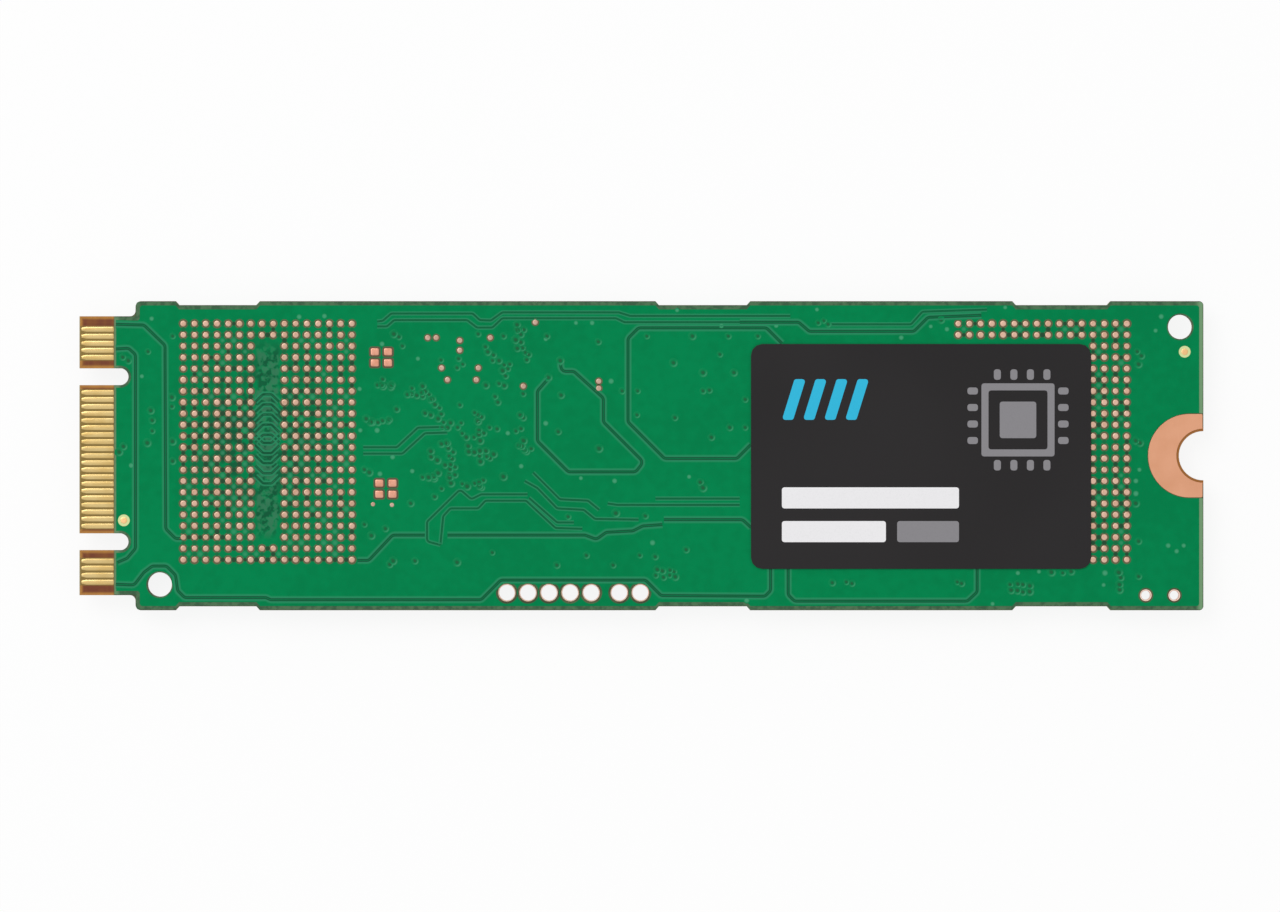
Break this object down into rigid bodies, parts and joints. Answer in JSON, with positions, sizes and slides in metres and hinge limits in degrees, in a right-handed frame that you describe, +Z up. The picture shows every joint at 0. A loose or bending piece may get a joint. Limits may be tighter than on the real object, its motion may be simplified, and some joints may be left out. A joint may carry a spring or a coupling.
{
  "type": "gumstick solid state drive",
  "caption": "Slim green circuit card with a keyed edge connector, a screw notch, a dark label, empty package sites above and memory packages below.",
  "frame": {"origin": "below the middle of the card, on the surface that the undersides of the two flash packages rest on", "axes": "+X from the edge connector to the screw notch, +Y across the card away from the row of header holes, +Z up out of the label"},
  "size_m": [0.08, 0.022, 0.0023],
  "materials": {
    "board_green": "glossy green solder mask",
    "gold": "bright gold plating",
    "copper": "satin bare copper",
    "label_film": "satin black film",
    "moulding": "fine matt moulding compound",
    "solder": "bright solder",
    "ferrite": "dark grey sintered block",
    "can": "satin metal lid on a ceramic base",
    "ceramic": "tan ceramic"
  },
  "bodies": {
    "root": {"circuit_board": "board_green", "contact_fingers_upper": "gold", "contact_fingers_lower": "gold", "screw_land_upper": "copper", "screw_land_lower": "copper", "header_hole_barrels": "copper", "service_hole_barrels": "copper", "site_lands_connector_end": "copper", "site_lands_screw_end": "copper", "test_lands": "copper", "spare_capacitor_pads": "copper", "fiducials": "gold", "label": "label_film", "flash_package_connector_end": "moulding", "flash_package_screw_end": "moulding", "controller_package": "moulding", "cache_memory_package": "moulding", "corner_solder_balls": "solder", "power_chip": "moulding", "load_switch": "moulding", "power_inductors": "ferrite", "clock_crystal": "can", "coupling_capacitors": "ceramic", "bulk_capacitors": "ceramic", "decoupling_capacitors": "ceramic", "resistors": "moulding"}
  },
  "joints": []
}
